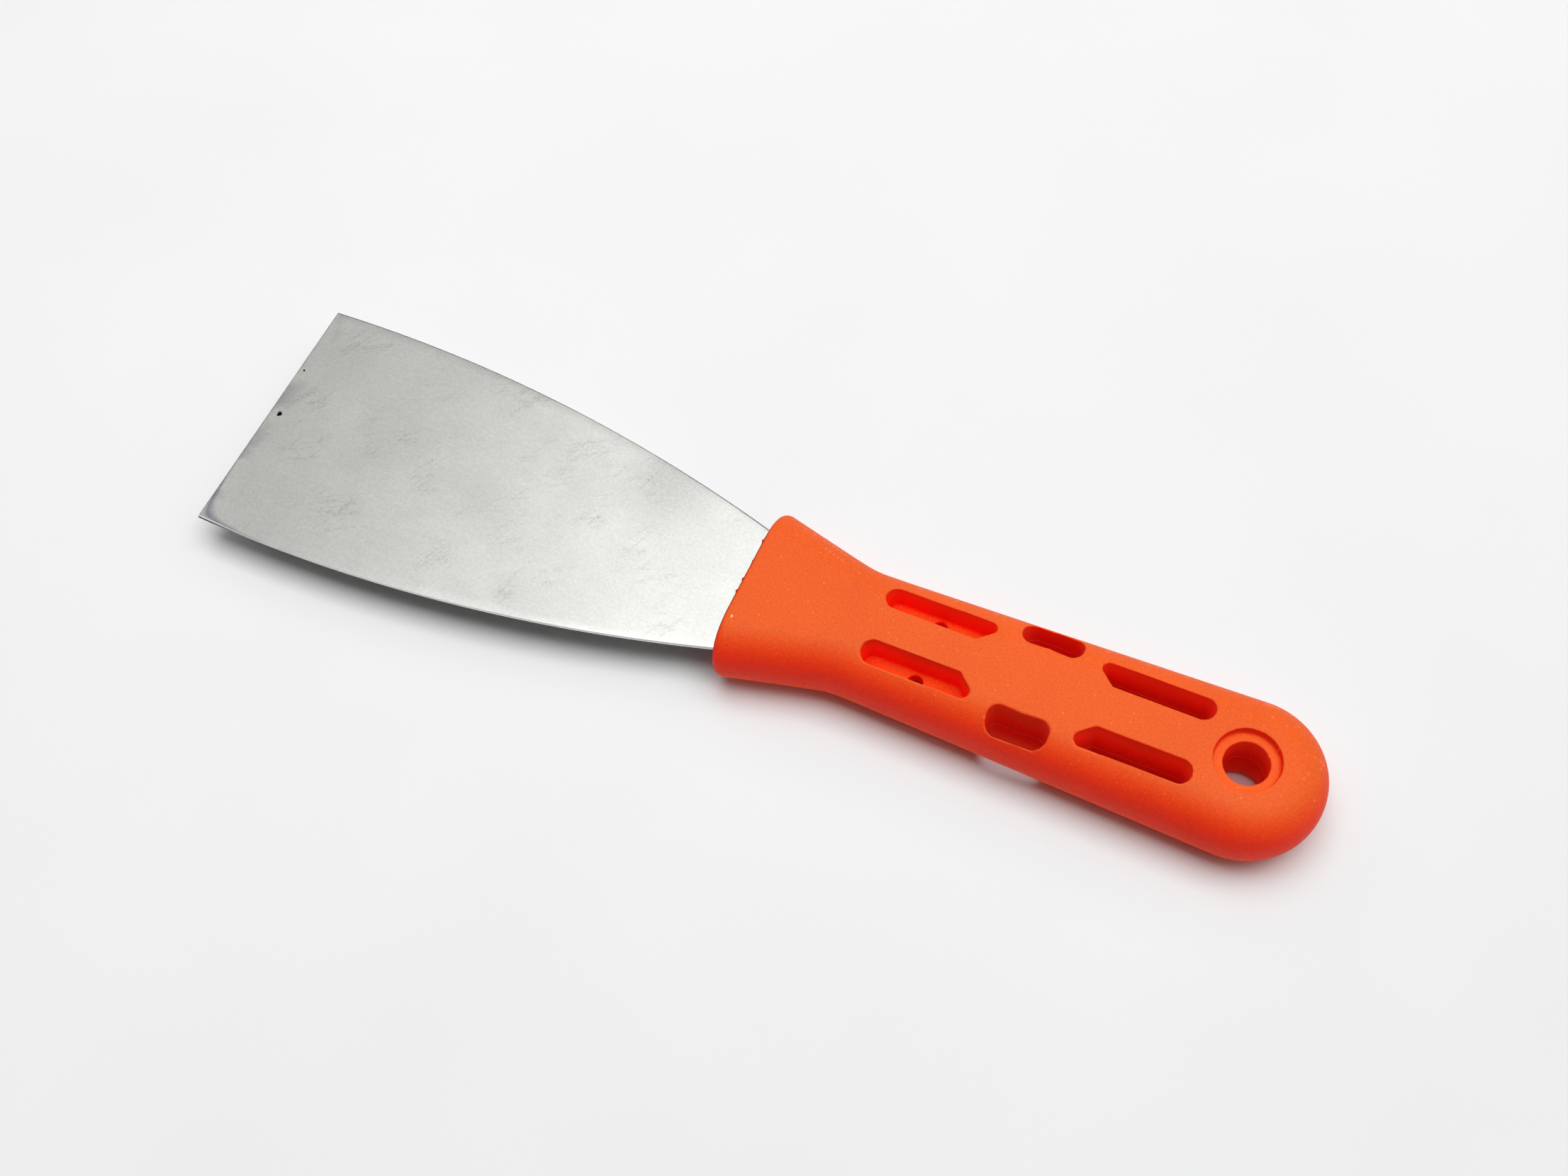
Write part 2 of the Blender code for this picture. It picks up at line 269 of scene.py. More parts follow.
def rounded(corners, grow):
    """The outline through (x, y, radius) corners, pushed outwards by grow, each corner an arc."""
    outline = []
    for i, (x, y, radius) in enumerate(corners):
        before, after = corners[i - 1], corners[(i + 1) % len(corners)]
        turn_in = math.atan2(before[1] - y, before[0] - x)
        turn_out = math.atan2(after[1] - y, after[0] - x)
        opening = (turn_out - turn_in + math.pi) % math.tau - math.pi
        half = abs(opening) / 2
        middle = turn_in + opening / 2
        centre_x = x + radius / math.sin(half) * math.cos(middle)
        centre_y = y + radius / math.sin(half) * math.sin(middle)
        sweep = math.copysign(math.pi / 2 - half, opening)
        convex = opening < 0
        reach = radius + (grow if convex else -grow)
        for step in range(SLOT_ARC_STEPS + 1):
            angle = middle + math.pi + sweep * (1 - 2 * step / SLOT_ARC_STEPS)
            outline.append((centre_x + reach * math.cos(angle), centre_y + reach * math.sin(angle)))
    return outline


def circle(centre_x, centre_y, radius):
    turns = (math.tau * i / CIRCLE_STEPS for i in range(CIRCLE_STEPS))
    return [(centre_x + radius * math.cos(a), centre_y + radius * math.sin(a)) for a in turns]


def at_height(outline, z):
    return [(x, y, z) for x, y in outline]


def pin_bore_cutter(side):
    """The mould's locating pins leave a bore on each side, right through the tang and the plastic."""
    outline = circle(PIN_BORE_X, side * PIN_BORE_Y, PIN_BORE_RADIUS)
    heights = (MIDDLE_Z - PIN_BORE_REACH, MIDDLE_Z + PIN_BORE_REACH)
    return stack("pin_bore", [at_height(outline, z) for z in heights])


# Blade and tang, one stamping


def sagitta(x):
    return SIDE_RADIUS - math.sqrt(SIDE_RADIUS**2 - (x - WIDEST_X) ** 2)


def stamping_half_width(x):
    if x <= TANG_SHOULDER_X:
        return TIP_HALF_WIDTH + sagitta(TIP_X) - sagitta(min(x, FLEX_X))
    mouth_width = stamping_half_width(TANG_SHOULDER_X)
    share = min((x - TANG_SHOULDER_X) / (TANG_NECK_X - TANG_SHOULDER_X), 1)
    return mouth_width + (TANG_HALF_WIDTH - mouth_width) * share


def stamping_half_thickness(x):
    share = min((x - TIP_X) / (FLEX_X - TIP_X), 1)
    return TIP_HALF_THICKNESS + (TANG_HALF_THICKNESS - TIP_HALF_THICKNESS) * share


def stamping_ring(x, inset):
    """Section across the stamping: flat above and below, its upper edges rolled over by the press."""
    half_width = stamping_half_width(x) - inset
    half_thickness = stamping_half_thickness(x) - inset
    share = min((x - TIP_X) / (FLEX_X - TIP_X), 1)
    roll = EDGE_ROLL_TIP + (EDGE_ROLL_HEEL - EDGE_ROLL_TIP) * share**3
    flat = half_width - roll
    steps = [2 * i / BLADE_WIDTH_STEPS - 1 for i in range(BLADE_WIDTH_STEPS + 1)]
    top = [(flat * s, half_thickness) for s in steps]
    far_edge = []
    for step in range(1, EDGE_ROLL_STEPS + 1):
        angle = math.pi / 2 * step / EDGE_ROLL_STEPS
        far_edge.append((flat + roll * math.sin(angle), half_thickness * math.cos(angle)))
    near_edge = [(-y, z) for y, z in reversed(far_edge)]
    underside = [(-half_width * s, -half_thickness) for s in steps]
    return [(x, y, MIDDLE_Z + z) for y, z in top + far_edge + underside + near_edge]


def build_blade():
    length = TANG_END_X - TIP_X
    rings = [stamping_ring(TIP_X, TIP_BREAK)]
    for step in range(BLADE_LENGTH_STEPS + 1):
        share = step / BLADE_LENGTH_STEPS
        x = TIP_X + TIP_BREAK + (length - 2 * TIP_BREAK) * share
        rings.append(stamping_ring(x, 0))
    rings.append(stamping_ring(TANG_END_X, TIP_BREAK))
    blade = stack("spring_steel_blade", rings)
    cut_all(blade, [pin_bore_cutter(side) for side in (-1, 1)])
    smooth_with_creases(blade, 25)
    return blade


def remember_places(target):
    """Keeps where each point lies at rest, so that the textures stay put when the blade bends."""
    places = np.empty(3 * len(target.data.vertices), dtype=np.float32)
    target.data.vertices.foreach_get("co", places)
    target.data.attributes.new(PLACE, "FLOAT_VECTOR", "POINT").data.foreach_set("vector", places)


def smooth_with_creases(target, degrees):
    for polygon in target.data.polygons:
        polygon.use_smooth = True
    target.data.set_sharp_from_angle(angle=math.radians(degrees))


def bend_from_handle(blade):
    """Bakes the blade's placement into its mesh; it does not bend the blade."""
    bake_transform(blade)


# Handle


def handle_half_width(x):
    flare = FLARE_HALF_WIDTH + FLARE_SLOPE * (x - MOUTH_X)
    grip = BUTT_RADIUS + GRIP_SLOPE * (x - BUTT_CENTRE_X)
    return (flare + grip + math.hypot(flare - grip, NECK_BLEND)) / 2


def half_section(half_width, half_height):
    """(distance out, height) from the middle of the top, over the rolled side, to the middle below."""
    land = half_width - ROLL_WIDTH
    upper = [(0, half_height), (land / 2, half_height)]
    for step in range(ROLL_STEPS):
        angle = math.pi / 2 * step / ROLL_STEPS
        out = land + ROLL_WIDTH * math.sin(angle) ** (2 / ROLL_POWER)
        upper.append((out, half_height * math.cos(angle) ** (2 / ROLL_POWER)))
    return upper + [(half_width, 0)] + [(out, -height) for out, height in reversed(upper)]


def edge_inset(depth, radius):
    """How far an edge rounded to the radius stands in, at a depth behind the mouth."""
    return radius - math.sqrt(radius**2 - max(radius - depth, 0) ** 2)


def handle_stations():
    """x along the handle: closely through the rounded mouth edge, then evenly to the butt."""
    for step in range(MOUTH_ROUND_STEPS):
        angle = math.pi / 2 * step / MOUTH_ROUND_STEPS
        yield MOUTH_X + MOUTH_CORNER_RADIUS * (1 - math.cos(angle))
    start = MOUTH_X + MOUTH_CORNER_RADIUS
    for step in range(BODY_STEPS + 1):
        yield start + (BUTT_CENTRE_X - start) * step / BODY_STEPS


def section_size(x):
    """Half width and half height of the handle at x."""
    half_width = handle_half_width(x) - edge_inset(x - MOUTH_X, MOUTH_CORNER_RADIUS)
    return half_width, HANDLE_THICKNESS / 2 - edge_inset(x - MOUTH_X, MOUTH_EDGE_RADIUS)


def handle_shell():
    """The handle's outside, swept along the far side, round the butt and back along the near side."""
    far_side = [(x, math.pi / 2, *section_size(x)) for x in handle_stations()]
    near_side = [(x, -turn, width, height) for x, turn, width, height in reversed(far_side)]
    _, _, butt_width, butt_height = far_side[-1]
    turns = (math.pi * (0.5 - step / BUTT_STEPS) for step in range(1, BUTT_STEPS))
    butt = [(BUTT_CENTRE_X, turn, butt_width, butt_height) for turn in turns]
    rows = []
    for x, turn, width, height in far_side + butt + near_side:
        section = half_section(width, height)
        rows.append(
            [(x + out * math.cos(turn), out * math.sin(turn), MIDDLE_Z + up) for out, up in section]
        )
    width = len(rows[0])
    points = [point for row in rows for point in row]
    faces = []
    for i in range(len(rows) - 1):
        for j in range(width - 1):
            corner = i * width + j
            faces.append((corner, corner + 1, corner + width + 1, corner + width))
    last_row = (len(rows) - 1) * width
    faces.append(list(range(width)) + [last_row + j for j in range(width - 2, 0, -1)])
    return mesh_object("handle_moulding", points, faces)


def front_pocket_corners():
    front, rear = MOUTH_X + 24.2 * MM, MOUTH_X + 43.9 * MM
    inner, outer = 3.3 * MM, 7.6 * MM
    return [
        (front, inner, 2.1 * MM),
        (rear - 2.7 * MM, inner, 0.3 * MM),
        (rear, inner + 2.6 * MM, 0.7 * MM),
        (rear, outer, 1.4 * MM),
        (front, outer, 2.1 * MM),
    ]


def middle_slot_corners():
    front, rear = MOUTH_X + 47.8 * MM, MOUTH_X + 58.6 * MM
    inner, outer = 6.1 * MM, 11 * MM
    bow = 0.3 * MM
    return [
        (front, inner, 2 * MM),
        ((front + rear) / 2, inner + bow, 12 * MM),
        (rear, inner, 2 * MM),
        (rear, outer, 2.3 * MM),
        (front, outer, 2.3 * MM),
    ]


def rear_slot_corners():
    front, rear = MOUTH_X + 62.4 * MM, MOUTH_X + 82 * MM
    inner, outer = 3.9 * MM, 8.1 * MM
    return [
        (rear, outer, 2 * MM),
        (front, outer, 1.4 * MM),
        (front, inner + 2.4 * MM, 0.7 * MM),
        (front + 2.7 * MM, inner, 0.3 * MM),
        (rear, inner, 2 * MM),
    ]


def drafted_cutter(name, corners, side, levels):
    """A cutter as large as its outline at the handle's faces, with walls that lean in to its middle."""
    rings = []
    for z in levels:
        lean = DRAFT * (abs(z - MIDDLE_Z) - HANDLE_THICKNESS / 2)
        outline = [(x, side * y) for x, y in rounded(corners, lean)]
        rings.append(at_height(outline, z))
    return stack(name, rings)


def turned_cutter(name, profile):
    return stack(name, [at_height(circle(HANG_HOLE_X, 0, r), z) for r, z in profile])


def handle_cutters():
    below, above = -CUT_MARGIN, HANDLE_THICKNESS + CUT_MARGIN
    high_floor, low_floor = MIDDLE_Z + POCKET_FLOOR, MIDDLE_Z - POCKET_FLOOR
    tools = []
    for side in (-1, 1):
        tools += [
            drafted_cutter("top_pocket", front_pocket_corners(), side, (high_floor, above)),
            drafted_cutter("bottom_pocket", front_pocket_corners(), side, (below, low_floor)),
            drafted_cutter("middle_slot", middle_slot_corners(), side, (below, MIDDLE_Z, above)),
            drafted_cutter("rear_slot", rear_slot_corners(), side, (below, MIDDLE_Z, above)),
        ]
        tools.append(pin_bore_cutter(side))
    tools.append(
        turned_cutter(
            "hang_hole",
            (
                (COUNTERBORE_RADIUS, below),
                (COUNTERBORE_RADIUS, COUNTERBORE_DEPTH),
                (HANG_HOLE_RADIUS, COUNTERBORE_DEPTH),
                (HANG_HOLE_RADIUS, HANDLE_THICKNESS - COUNTERBORE_DEPTH),
                (COUNTERBORE_RADIUS, HANDLE_THICKNESS - COUNTERBORE_DEPTH),
                (COUNTERBORE_RADIUS, above),
            ),
        )
    )
    return tools


def add_flash(target):
    shape = bmesh.new()
    shape.from_mesh(target.data)
    for y, radius in FLASH_NIBS:
        place = Matrix.Translation((MOUTH_X, y, handle_high.z - MOUTH_EDGE_RADIUS * 0.75))
        bmesh.ops.create_icosphere(shape, subdivisions=2, radius=radius, matrix=place)
    shape.to_mesh(target.data)
    shape.free()


def soften_rims(target):
    """Gives every rim the small radius that a moulding has."""
    remesh = target.modifiers.new("even_skin", "REMESH")
    remesh.mode = "VOXEL"
    remesh.voxel_size = SKIN_CELL
    remesh.use_smooth_shade = True
    smooth = target.modifiers.new("soft_rims", "SMOOTH")
    smooth.factor = 0.5
    smooth.iterations = RIM_SOFTENING
    apply_modifiers(target)


def build_handle():
    handle = handle_shell()
    cut_all(handle, handle_cutters())
    add_flash(handle)
    soften_rims(handle)
    for polygon in handle.data.polygons:
        polygon.use_smooth = True
    return handle


# Materials


class Nodes:
    """Short ways to add shader nodes to one material or world."""

    def __init__(self, owner, shader):
        owner.use_nodes = True
        self.owner = owner
        self.tree = owner.node_tree
        self.shader = self.tree.nodes[shader]

    def add(self, kind, **settings):
        node = self.tree.nodes.new(kind)
        for setting, value in settings.items():
            setattr(node, setting, value)
        return node

    def put(self, value, socket):
        """Links a socket to another's output, or sets its value."""
        if isinstance(value, bpy.types.NodeSocket):
            self.tree.links.new(value, socket)
        else:
            socket.default_value = value

    def feed(self, node, **inputs):
        """Puts values into inputs by their names, with underscores for spaces."""
        for key, value in inputs.items():
            self.put(value, node.inputs[key.replace("_", " ")])

    def math(self, operation, a, b, clamp=False):
        node = self.add("ShaderNodeMath", operation=operation, use_clamp=clamp)
        self.put(a, node.inputs[0])
        self.put(b, node.inputs[1])
        return node.outputs["Value"]

    def place(self):
        """Where each point lies at rest, in metres."""
        return self.add("ShaderNodeAttribute", attribute_name=PLACE).outputs["Vector"]

    def axis(self, letter, vector=None):
        """One part of the place at rest, or of another vector."""
        node = self.add("ShaderNodeSeparateXYZ")
        self.feed(node, Vector=vector or self.place())
        return node.outputs[letter]

    def off(self, value, target):
        """How far a value lies from the target, either way."""
        difference = self.math("SUBTRACT", value, target)
        return self.math("MAXIMUM", difference, self.math("MULTIPLY", difference, -1))

    def distance_from(self, x, y):
        """Distance in plan from a point."""
        flat = self.add("ShaderNodeCombineXYZ")
        self.feed(flat, X=self.axis("X"), Y=self.axis("Y"))
        node = self.add("ShaderNodeVectorMath", operation="DISTANCE")
        self.put(flat.outputs["Vector"], node.inputs[0])
        self.put((x, y, 0), node.inputs[1])
        return node.outputs["Value"]

    def both(self, *shares):
        product = shares[0]
        for share in shares[1:]:
            product = self.math("MULTIPLY", product, share)
        return product

    def noise(self, size, detail=2.0, stretch=(1, 1, 1), turn=0):
        """Noise with features about size metres across, stretched and then turned by degrees about Z."""
        mapping = self.add("ShaderNodeMapping", vector_type="TEXTURE")
        self.feed(mapping, Vector=self.place(), Rotation=(0, 0, math.radians(turn)), Scale=stretch)
        node = self.add("ShaderNodeTexNoise")
        self.feed(node, Vector=mapping.outputs["Vector"], Scale=1 / size, Detail=detail)
        return node.outputs["Fac"]

    def between(self, value, low, high, to_low=0.0, to_high=1.0):
        node = self.add("ShaderNodeMapRange")
        self.feed(node, Value=value, From_Min=low, From_Max=high, To_Min=to_low, To_Max=to_high)
        return node.outputs["Result"]

    def mix(self, share, first, second):
        node = self.add("ShaderNodeMix", data_type="RGBA")
        first_in, second_in = [socket for socket in node.inputs if socket.type == "RGBA"]
        self.feed(node, Factor=share)
        self.put(first, first_in)
        self.put(second, second_in)
        return next(socket for socket in node.outputs if socket.type == "RGBA")

    def tint(self, colour, shade):
        node = self.add("ShaderNodeVectorMath", operation="SCALE")
        self.feed(node, Vector=colour, Scale=shade)
        return node.outputs["Vector"]

    def bump(self, height, strength, distance, under=None):
        node = self.add("ShaderNodeBump")
        self.feed(node, Height=height, Strength=strength, Distance=distance)
        if under is not None:
            self.feed(node, Normal=under)
        return node.outputs["Normal"]


def light_share(nodes):
    """How much light reaches each point, from 0 to 1: (from the lamps, from the floor, openness)."""
    normal = nodes.add("ShaderNodeTexCoord").outputs["Normal"]
    facing = nodes.add("ShaderNodeVectorMath", operation="DOT_PRODUCT")
    nodes.put(normal, facing.inputs[0])
    nodes.put(LIGHT_FROM, facing.inputs[1])
    occlusion = nodes.add("ShaderNodeAmbientOcclusion", only_local=True, samples=8)
    nodes.feed(occlusion, Distance=HOLLOW_REACH)
    openness = occlusion.outputs["AO"]
    seen = nodes.math("POWER", openness, 0.3)  # lamps overhead still reach the floors of hollows
    from_lamps = nodes.both(nodes.between(facing.outputs["Value"], 0, LIGHT_FROM[2]), seen)
    from_floor = nodes.both(nodes.between(nodes.axis("Z", normal), -0.6, 0.1, 1, 0), openness)
    return from_lamps, from_floor, openness


def lit_and_shaded_colour(nodes, lit, floor_lit, openness):
    """Painted light and shade on the plastic: orange where the lamps fall, deep red in hollows and on
    sides turned from them.
    """
    share = nodes.math("ADD", nodes.math("POWER", lit, 1.8), nodes.both(floor_lit, 0.55))
    share = nodes.math("ADD", share, nodes.between(openness, 0.2, 0.5, 0, 0.17), clamp=True)
    return nodes.mix(share, SHADED_DEEP_RED, LIT_ORANGE)


def plastic_marks_and_painted_light(nodes, lit, openness, grain, parting, ring):
    """Marks of moulding and use, and painted highlights and shade: (share, colour) layers, the lowest
    first.
    """
    # The specks, the pin ring and the nick are real marks, shown only as far as the painted lamp light
    # falls.
    specks = nodes.add("ShaderNodeTexVoronoi")
    nodes.feed(specks, Vector=nodes.place(), Scale=1 / SPECK_SPACING)
    speck = nodes.math("LESS_THAN", specks.outputs["Distance"], 0.075)
    yield nodes.both(speck, lit, 0.5), PALE_SPECK

    # The parting line has a painted highlight inside the slots and is dark on the outside.
    seam = nodes.mix(nodes.between(openness, 0.45, 0.6), SEAM_PAINTED_HIGHLIGHT, DARK_SEAM)
    yield nodes.both(parting, 0.45), seam

    # Painted highlight: pale rims where the surface is most convex.
    pointiness = nodes.add("ShaderNodeNewGeometry").outputs["Pointiness"]
    yield nodes.both(nodes.between(pointiness, 0.54, 0.6), 0.35), PAINTED_RIM_HIGHLIGHT
    yield nodes.both(ring, 0.05), PIN_RING

    nick = spot(nodes, NICK_X, NICK_Y, NICK_RADIUS, grain)
    yield nodes.both(nick, lit, 0.8), PALE_NICK

    # Painted shade: a dark line along the front of the mouth.
    edge = nodes.between(nodes.axis("X"), *MOUTH_SHADE_FADE, 1, 0)
    yield nodes.both(edge, 0.9), MOUTH_EDGE_SHADE


def painted_glow(nodes, openness):
    """Painted glow: red emission standing in for light that soaks into the plastic and comes out of the
    walls of hollows, most near their open tops.
    """
    hollow = nodes.between(openness, 0.3, 0.75, 1, 0)
    height = nodes.between(nodes.axis("Z"), MIDDLE_Z, handle_high.z)
    from_walls = nodes.both(hollow, height, height, HOLLOW_PAINTED_GLOW)
    return nodes.math("ADD", from_walls, nodes.both(openness, BODY_PAINTED_GLOW))


def thrown_far(nodes):
    """1 for light that the surface throws back over some distance, 0 for what lands close by."""
    ray = nodes.add("ShaderNodeLightPath").outputs
    return nodes.both(ray["Is Diffuse Ray"], nodes.between(ray["Ray Length"], FAR_BOUNCE_START, FAR_BOUNCE_END))


def handle_plastic():
    nodes = Nodes(bpy.data.materials.new("orange_moulded_plastic"), "Principled BSDF")
    lit, floor_lit, openness = light_share(nodes)
    grain = nodes.noise(0.4 * MM, detail=4)
    cloud = nodes.noise(14 * MM)
    off_middle = nodes.off(nodes.axis("Z"), MIDDLE_Z)
    parting = nodes.between(off_middle, 0.4 * PARTING_HALF_WIDTH, PARTING_HALF_WIDTH, 1, 0)
    off_ring = nodes.off(nodes.distance_from(PIN_MARK_X, 0), PIN_MARK_RADIUS)
    # The pin ring is a real mark, shown only where the painted lamp light falls.
    ring = nodes.both(nodes.between(off_ring, 0.25 * PIN_MARK_HALF_WIDTH, PIN_MARK_HALF_WIDTH, 1, 0), lit)

    # Painted light and shade: orange where lit, deep red in shade.
    colour = lit_and_shaded_colour(nodes, lit, floor_lit, openness)
    shade = nodes.between(grain, 0.3, 0.7, 0.89, 1.1)
    shade = nodes.both(shade, nodes.between(cloud, 0.3, 0.7, 0.97, 1.03))
    colour = nodes.tint(colour, shade)
    for share, mark in plastic_marks_and_painted_light(nodes, lit, openness, grain, parting, ring):
        colour = nodes.mix(share, colour, mark)

    # Only the floor close by turns red: diffuse light thrown further sees grey in place of the plastic's
    # colour.
    far_bounce = thrown_far(nodes)
    colour = nodes.mix(far_bounce, colour, FAR_BOUNCE_GREY)
    # Painted glow: red emission from the plastic.
    painted_glow_strength = nodes.both(painted_glow(nodes, openness), nodes.math("SUBTRACT", 1, far_bounce))

    normal = nodes.bump(grain, 0.35, 0.05 * MM)
    normal = nodes.bump(parting, 0.6, 0.06 * MM, under=normal)
    normal = nodes.bump(ring, 0.25, 0.03 * MM, under=normal)
    nodes.feed(
        nodes.shader,
        Base_Color=colour,
        Roughness=nodes.between(nodes.noise(0.5 * MM), 0.3, 0.7, 0.44, 0.58),
        Specular_IOR_Level=nodes.both(openness, openness, 0.1),  # hollows return no sheen
        Normal=normal,
        Emission_Color=PAINTED_GLOW_RED,
        Emission_Strength=painted_glow_strength,
    )
    return nodes.owner


def inside_edge(nodes, side):
    """Distance in from one curved side of the blade, which is an arc about a far centre."""
    centre_y = side * (TIP_HALF_WIDTH + sagitta(TIP_X) - SIDE_RADIUS)
    return nodes.math("SUBTRACT", SIDE_RADIUS, nodes.distance_from(WIDEST_X, centre_y))


def spot(nodes, x, y, radius, ragged):
    """1 inside a ragged spot, 0 outside it."""
    wander = nodes.between(ragged, 0.3, 0.7, -0.35 * radius, 0.35 * radius)
    distance = nodes.math("ADD", nodes.distance_from(x, y), wander)
    return nodes.between(distance, 0.8 * radius, radius, 1, 0)


def blade_marks_and_painted_light(nodes, from_tip, from_near, from_far):
    """Handling marks and specks, a blue-grey band, and painted reflection and shade: (share, colour)
    layers, the faintest first.
    """
    ragged = nodes.noise(0.5 * MM, detail=3)
    patchy = nodes.noise(9 * MM, detail=3)

    # Scrapes: lines where a long, slanting noise crosses its middle value.
    for turn in SCRAPE_TURNS:
        slanting = nodes.noise(2.6 * MM, stretch=(14, 1, 1), turn=turn)
        line = nodes.between(nodes.off(slanting, 0.5), 0, 0.03, 1, 0)
        scrapes = nodes.both(line, nodes.between(patchy, 0.5, 0.64))
        yield nodes.both(scrapes, nodes.between(ragged, 0.35, 0.6), 0.5), SCRAPED

    # Painted darker reflection beside the far side, towards the heel.
    from_dark_reflection = nodes.distance_from(DARK_REFLECTION_X, DARK_REFLECTION_Y)
    darker_reflection_share = nodes.between(from_dark_reflection, DARK_REFLECTION_RADIUS / 4, DARK_REFLECTION_RADIUS, 1, 0)
    yield nodes.both(darker_reflection_share, nodes.between(ragged, 0.3, 0.7, 0.4, 1), 0.5), DARKER_REFLECTION

    # Painted shade in patches within a few millimetres of the tip, where the reflection falls off.
    near_tip = nodes.between(from_tip, TIP_SHADE_DEPTH / 8, TIP_SHADE_DEPTH, 1, 0)
    yield nodes.both(near_tip, nodes.between(patchy, 0.48, 0.62), 0.5), TIP_PAINTED_SHADE

    # A blue-grey band runs round the near corner of the tip, closest to the edges at its two ends.
    cornered = nodes.both(from_tip, from_near, 1 / MM**2)
    band = nodes.both(
        nodes.between(cornered, 0.3, 1.6),
        nodes.between(cornered, 2, 6, 1, 0),
        nodes.between(nodes.math("ADD", from_tip, from_near), 7 * MM, 15 * MM, 1, 0),
        nodes.between(ragged, 0.2, 0.5, 0.7, 1),
    )
    yield nodes.both(band, 0.62), CORNER_BLUE_GREY

    # Painted shade: dark outlines along the far side and the tip, where the sheared edges turn from the
    # light.
    outline = nodes.math(
        "MAXIMUM",
        nodes.between(from_far, *OUTLINE_FADE_SIDE, 1, 0),
        nodes.between(from_tip, *OUTLINE_FADE_TIP, 1, 0),
    )
    yield nodes.both(outline, nodes.between(ragged, 0.35, 0.6, 0.5, 0.95)), EDGE_SHADE_OUTLINE

    # Specks of old paint or rust.
    for x, y, radius in STEEL_SPECKS:
        yield spot(nodes, x, y, radius, ragged), OLD_PAINT


def near_edge_highlight_and_shade(nodes, colour, from_tip, from_near):
    """The near side: a painted highlight along the edge at the heel and at the tip, and painted shade on
    the edge's lower half under it.
    """
    to_heel = nodes.math("POWER", nodes.between(from_tip, 0, FLEX_X - TIP_X), 4)
    at_tip = nodes.between(from_tip, 3 * MM, 13 * MM, 1, 0)
    reach = nodes.math("ADD", nodes.both(to_heel, 0.6 * MM), nodes.both(at_tip, 0.35 * MM))
    bright = nodes.math("LESS_THAN", from_near, nodes.math("ADD", reach, 0.06 * MM))
    colour = nodes.mix(nodes.both(bright, 0.75), colour, EDGE_PAINTED_HIGHLIGHT)
    low = nodes.between(nodes.axis("Z"), MIDDLE_Z - 0.06 * MM, MIDDLE_Z + 0.02 * MM, 1, 0)
    low = nodes.math("MAXIMUM", low, at_tip)
    edge_shade_share = nodes.both(low, nodes.between(from_near, 0.09 * MM, 0.14 * MM, 1, 0))
    return nodes.mix(edge_shade_share, colour, EDGE_PAINTED_SHADE)


def blade_steel():
    nodes = Nodes(bpy.data.materials.new("satin_spring_steel"), "Principled BSDF")
    from_tip = nodes.math("SUBTRACT", nodes.axis("X"), TIP_X)
    from_near, from_far = inside_edge(nodes, -1), inside_edge(nodes, 1)
    brushing = nodes.noise(0.12 * MM, detail=3, stretch=(33, 1, 1))
    mottle = nodes.noise(0.45 * MM, detail=4)
    cloud = nodes.noise(12 * MM, detail=4)
    colour = nodes.mix(nodes.between(brushing, 0.25, 0.75), STEEL_LOW, STEEL_HIGH)
    colour = nodes.tint(colour, nodes.between(cloud, 0.3, 0.7, 0.94, 1.04))
    colour = nodes.tint(colour, nodes.between(mottle, 0.3, 0.7, 0.93, 1.07))
    for share, mark in blade_marks_and_painted_light(nodes, from_tip, from_near, from_far):
        colour = nodes.mix(share, colour, mark)
    # Painted highlight and shade along the near edge.
    colour = near_edge_highlight_and_shade(nodes, colour, from_tip, from_near)
    across = nodes.add("ShaderNodeCombineXYZ")
    nodes.feed(across, Y=1.0)
    normal = nodes.bump(brushing, 0.08, 0.02 * MM)
    normal = nodes.bump(mottle, 0.12, 0.03 * MM, under=normal)
    nodes.feed(
        nodes.shader,
        Base_Color=colour,
        Metallic=1.0,
        Roughness=nodes.between(brushing, 0.3, 0.7, 0.41, 0.46),
        Normal=normal,
        Anisotropic=0.5,
        Tangent=across.outputs["Vector"],
    )
    return nodes.owner


def floor_paper():
    nodes = Nodes(bpy.data.materials.new("pale_floor"), "Principled BSDF")
    tone = nodes.between(nodes.noise(60 * MM), 0.3, 0.7)
    colour = nodes.mix(tone, PAPER_LOW, PAPER_HIGH)
    # Painted shade: the floor darkens towards +X, evening out the brighter pool that the key light throws
    # there.
    colour = nodes.tint(colour, nodes.between(nodes.axis("X"), -0.1, 0.15, 1, 0.93))
    nodes.feed(nodes.shader, Base_Color=colour, Roughness=0.9)
    return nodes.owner


# Stage


def build_floor():
    half = FLOOR_HALF_SIZE
    z = handle_low.z - FLOOR_GAP
    corners = [(-half, -half, z), (half, -half, z), (half, half, z), (-half, half, z)]
    floor = mesh_object("floor", corners, [range(4)])
    floor.data.materials.append(floor_paper())
    remember_places(floor)


def softbox(name, centre, size, power):
    """A level panel of light, facing down."""
    lamp = bpy.data.lights.new(name, "AREA")
    lamp.shape = "RECTANGLE"
    lamp.size, lamp.size_y = size
    lamp.energy = power
    made = bpy.data.objects.new(name, lamp)
    made.location = centre
    bpy.context.scene.collection.objects.link(made)


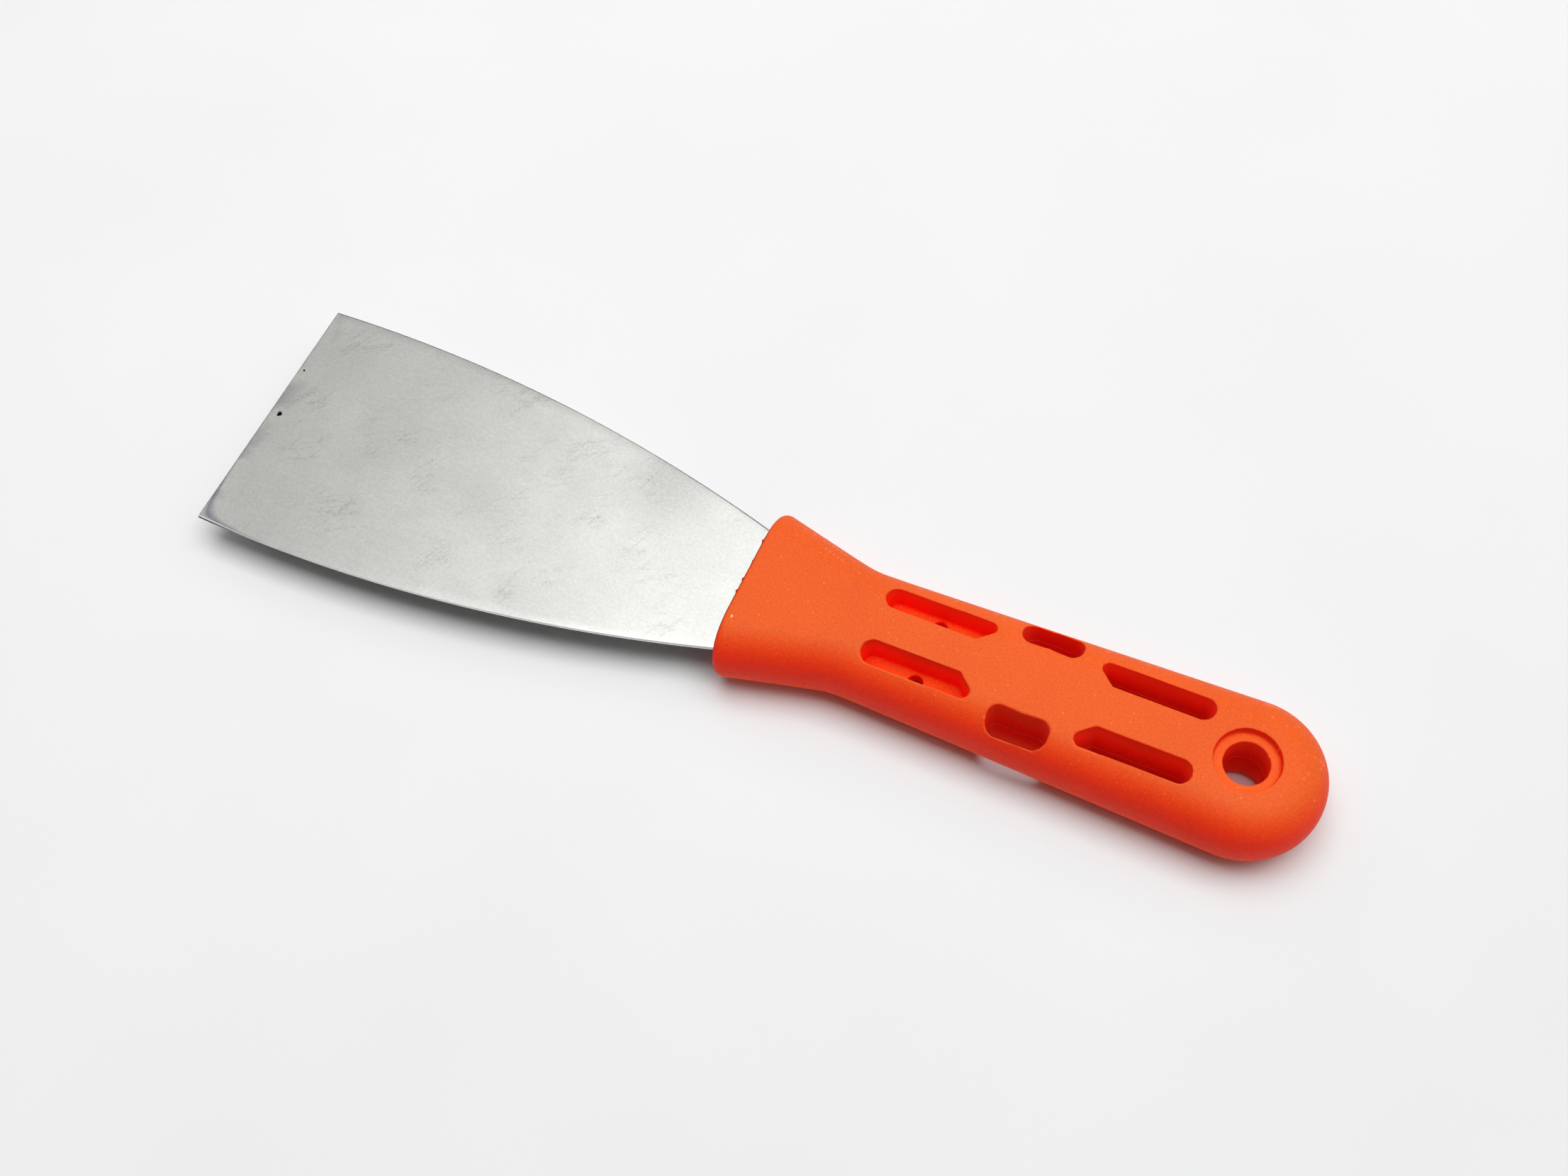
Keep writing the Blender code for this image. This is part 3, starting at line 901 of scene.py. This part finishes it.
def build_light():
    """A softbox over the knife and its far side, inside a wide dim one, and next to none in front."""
    softbox("key", **KEY_LIGHT)
    softbox("fill", **FILL_LIGHT)
    bpy.context.scene.view_settings.view_transform = "Standard"


def build_surroundings():
    """Next to no light, but pale where the camera or a low reflection looks past the lamps."""
    nodes = Nodes(bpy.data.worlds.new("studio"), "Background")
    ray = nodes.add("ShaderNodeLightPath").outputs
    up = nodes.axis("Z", nodes.add("ShaderNodeTexCoord").outputs["Generated"])
    reflected = nodes.both(ray["Is Glossy Ray"], nodes.between(up, 0.25, 0.6, WORLD_REFLECTED, 0))
    seen = nodes.both(ray["Is Camera Ray"], WORLD_SEEN)
    strength = nodes.math("MAXIMUM", nodes.math("MAXIMUM", reflected, seen), WORLD_LIGHT)
    nodes.feed(nodes.shader, Color=(1, 1, 1, 1), Strength=strength)
    bpy.context.scene.world = nodes.owner


def build_camera():
    """Looks down on the knife from behind its butt and to its near side, close by and a little rolled."""
    level = math.cos(CAMERA_ELEVATION)
    forward = Vector(
        (
            -math.sin(CAMERA_AZIMUTH) * level,
            math.cos(CAMERA_AZIMUTH) * level,
            -math.sin(CAMERA_ELEVATION),
        )
    )
    camera = bpy.data.cameras.new("camera")
    camera.sensor_width = SENSOR_WIDTH
    camera.lens = LENS
    camera.clip_start = 10 * MM
    made = bpy.data.objects.new("camera", camera)
    turned = forward.to_track_quat("-Z", "Y").to_matrix() @ Matrix.Rotation(-CAMERA_ROLL, 3, "Z")
    made.matrix_world = Matrix.Translation(CAMERA_TARGET - CAMERA_DISTANCE * forward) @ turned.to_4x4()
    bpy.context.scene.collection.objects.link(made)
    bpy.context.scene.camera = made


def main():
    blade = build_blade()
    blade.data.materials.append(blade_steel())
    remember_places(blade)
    bend_from_handle(blade)
    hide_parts("blade", "tang")

    handle = build_handle()
    handle.data.materials.append(handle_plastic())
    remember_places(handle)
    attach(handle, "handle")
    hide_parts("handle")

    build_floor()
    build_light()
    build_surroundings()
    build_camera()


main()
